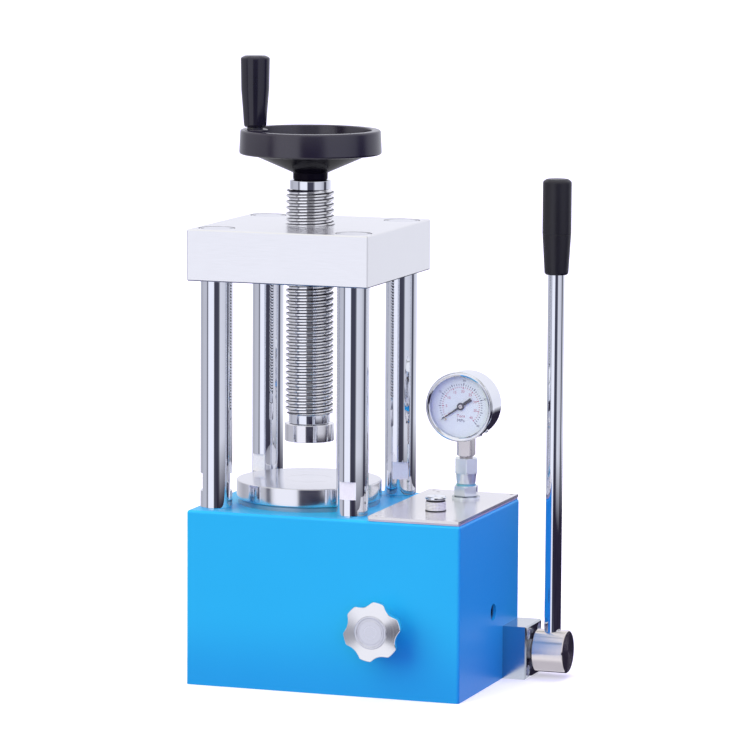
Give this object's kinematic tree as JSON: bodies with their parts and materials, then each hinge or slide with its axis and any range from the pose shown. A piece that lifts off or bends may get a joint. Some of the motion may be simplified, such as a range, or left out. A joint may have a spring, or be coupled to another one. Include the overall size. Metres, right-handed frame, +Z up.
{
  "type": "manual hydraulic press",
  "caption": "Hand-pumped bench press: a ram plate rises between four columns towards a screw-set head, with pressure gauge, release knob and upright pump lever.",
  "frame": {"origin": "on the ram and screw axis, at the plane of the base's underside", "axes": "+Z up along the ram, +X towards the pump lever, -Y towards the operator, who faces the gauge dial and the release knob"},
  "size_m": [0.3045, 0.199, 0.5478],
  "materials": {
    "blue_paint": "fine powder coat, satin",
    "chrome_steel": "hard chrome, mirror",
    "satin_plate": "satin plated",
    "turned_steel": "fine turned",
    "ground_steel": "ground",
    "black_oxide": "black oxide",
    "stainless_sheet": "brushed stainless",
    "zinc_steel": "bright zinc plated",
    "nickel_brass": "nickel plated",
    "bronze": "machined bronze",
    "satin_aluminium": "turned satin",
    "black_phenolic": "satin moulded",
    "black_gloss": "polished moulded",
    "black_grip": "semi-matt moulded",
    "black_rubber": "matt",
    "teal_rubber": "matt",
    "clear_glass": "polished",
    "dial_white": "printed enamel",
    "pointer_black": "satin"
  },
  "bodies": {
    "frame": {"base_block": "blue_paint", "bearing_block_screws": "black_oxide", "bourdon_tube": "bronze", "column_back_left": "chrome_steel", "column_back_right": "chrome_steel", "column_front_left": "chrome_steel", "column_front_right": "chrome_steel", "column_nuts": "satin_plate", "cover_gasket": "black_rubber", "cover_plate": "stainless_sheet", "cover_screws": "stainless_sheet", "cylinder_gland": "turned_steel", "filler_neck": "zinc_steel", "gauge_adapter": "zinc_steel", "gauge_bezel": "chrome_steel", "gauge_case": "chrome_steel", "gauge_dial": "dial_white", "gauge_movement": "bronze", "gauge_seal_ring": "teal_rubber", "gauge_stem": "nickel_brass", "gauge_tube": "zinc_steel", "gauge_union": "zinc_steel", "gauge_washer": "zinc_steel", "gauge_window": "clear_glass", "plunger_spring": "turned_steel", "pump_bearing_block": "ground_steel", "pump_body": "ground_steel", "screw_nut": "bronze", "shaft_bushing": "bronze", "shaft_seal": "black_rubber", "side_plug": "black_oxide", "top_plate": "satin_plate", "valve_gland": "ground_steel", "valve_plugs": "ground_steel"},
    "ram": {"ram_piston": "turned_steel", "piston_seal": "black_rubber", "ram_plate": "turned_steel"},
    "pressure_head": {"pressure_head": "turned_steel", "head_retaining_screws": "black_oxide"},
    "lead_screw": {"lead_screw": "chrome_steel", "handwheel": "black_phenolic", "handwheel_nut": "zinc_steel", "grip_pin": "turned_steel"},
    "handwheel_grip": {"handwheel_grip": "black_gloss"},
    "lever": {"lever_shaft": "turned_steel", "eccentric_cam": "turned_steel", "lever_socket": "turned_steel", "lever_set_screw": "black_oxide", "lever_rod": "chrome_steel", "lever_grip": "black_grip"},
    "pump_plunger": {"pump_plunger": "turned_steel"},
    "inlet_ball": {"inlet_ball": "turned_steel"},
    "outlet_ball": {"outlet_ball": "turned_steel"},
    "release_valve": {"release_knob": "satin_aluminium", "release_spindle": "turned_steel"},
    "gauge_pointer": {"gauge_pointer": "pointer_black", "pointer_arbor": "bronze"},
    "sector_gear": {"sector_gear": "bronze"},
    "filler_cap": {"filler_cap": "chrome_steel", "filler_cap_ring": "black_rubber"}
  },
  "joints": [
    {"name": "ram_lift", "type": "slide", "parent": "frame", "child": "ram", "axis": [0, 0, 1], "range_m": [0, 0.02]},
    {"name": "screw_travel", "type": "slide", "parent": "frame", "child": "pressure_head", "axis": [0, 0, 1], "range_m": [-0.014, 0.115]},
    {"name": "screw_turn", "type": "hinge", "parent": "pressure_head", "child": "lead_screw", "pos_m": [0, 0, 0.22], "axis": [0, 0, 1], "range_deg": [-969, 7960]},
    {"name": "grip_spin", "type": "hinge", "parent": "lead_screw", "child": "handwheel_grip", "pos_m": [-0.0458, -0.0159, 0.51], "axis": [0, 0, 1], "continuous": true},
    {"name": "lever_swing", "type": "hinge", "parent": "frame", "child": "lever", "pos_m": [0.18, 0.0616, 0.0234], "axis": [1, 0, 0], "range_deg": [-15, 60]},
    {"name": "plunger_stroke", "type": "slide", "parent": "frame", "child": "pump_plunger", "axis": [0, -1, 0], "range_m": [-0.0013, 0.005], "deforming": ["plunger_spring"]},
    {"name": "inlet_ball_lift", "type": "slide", "parent": "frame", "child": "inlet_ball", "axis": [0, 0, 1], "range_m": [0, 0.0008]},
    {"name": "outlet_ball_lift", "type": "slide", "parent": "frame", "child": "outlet_ball", "axis": [0, 0, 1], "range_m": [0, 0.0008]},
    {"name": "release_turn", "type": "hinge", "parent": "frame", "child": "release_valve", "pos_m": [0.0975, -0.09, 0.0625], "axis": [0, -1, 0], "range_deg": [0, 360]},
    {"name": "pointer_turn", "type": "hinge", "parent": "frame", "child": "gauge_pointer", "pos_m": [0.1315, 0.03, 0.242], "axis": [0, 1, 0], "range_deg": [0, 265], "stiffness_Nm_per_rad": 0.0002},
    {"name": "sector_turn", "type": "hinge", "parent": "frame", "child": "sector_gear", "pos_m": [0.1315, 0.036, 0.229], "axis": [0, 1, 0], "range_deg": [-31, 0.5]},
    {"name": "cap_lift", "type": "slide", "parent": "frame", "child": "filler_cap", "axis": [0, 0, 1], "range_m": [0, 0.025]}
  ],
  "couplings": [
    {"joint": "screw_travel", "follows": "screw_turn", "m_per_rad": 0.00082761},
    {"joint": "plunger_stroke", "follows": "lever_swing", "m_per_rad": 0.00467},
    {"joint": "sector_turn", "follows": "pointer_turn", "ratio": -0.1129}
  ]
}
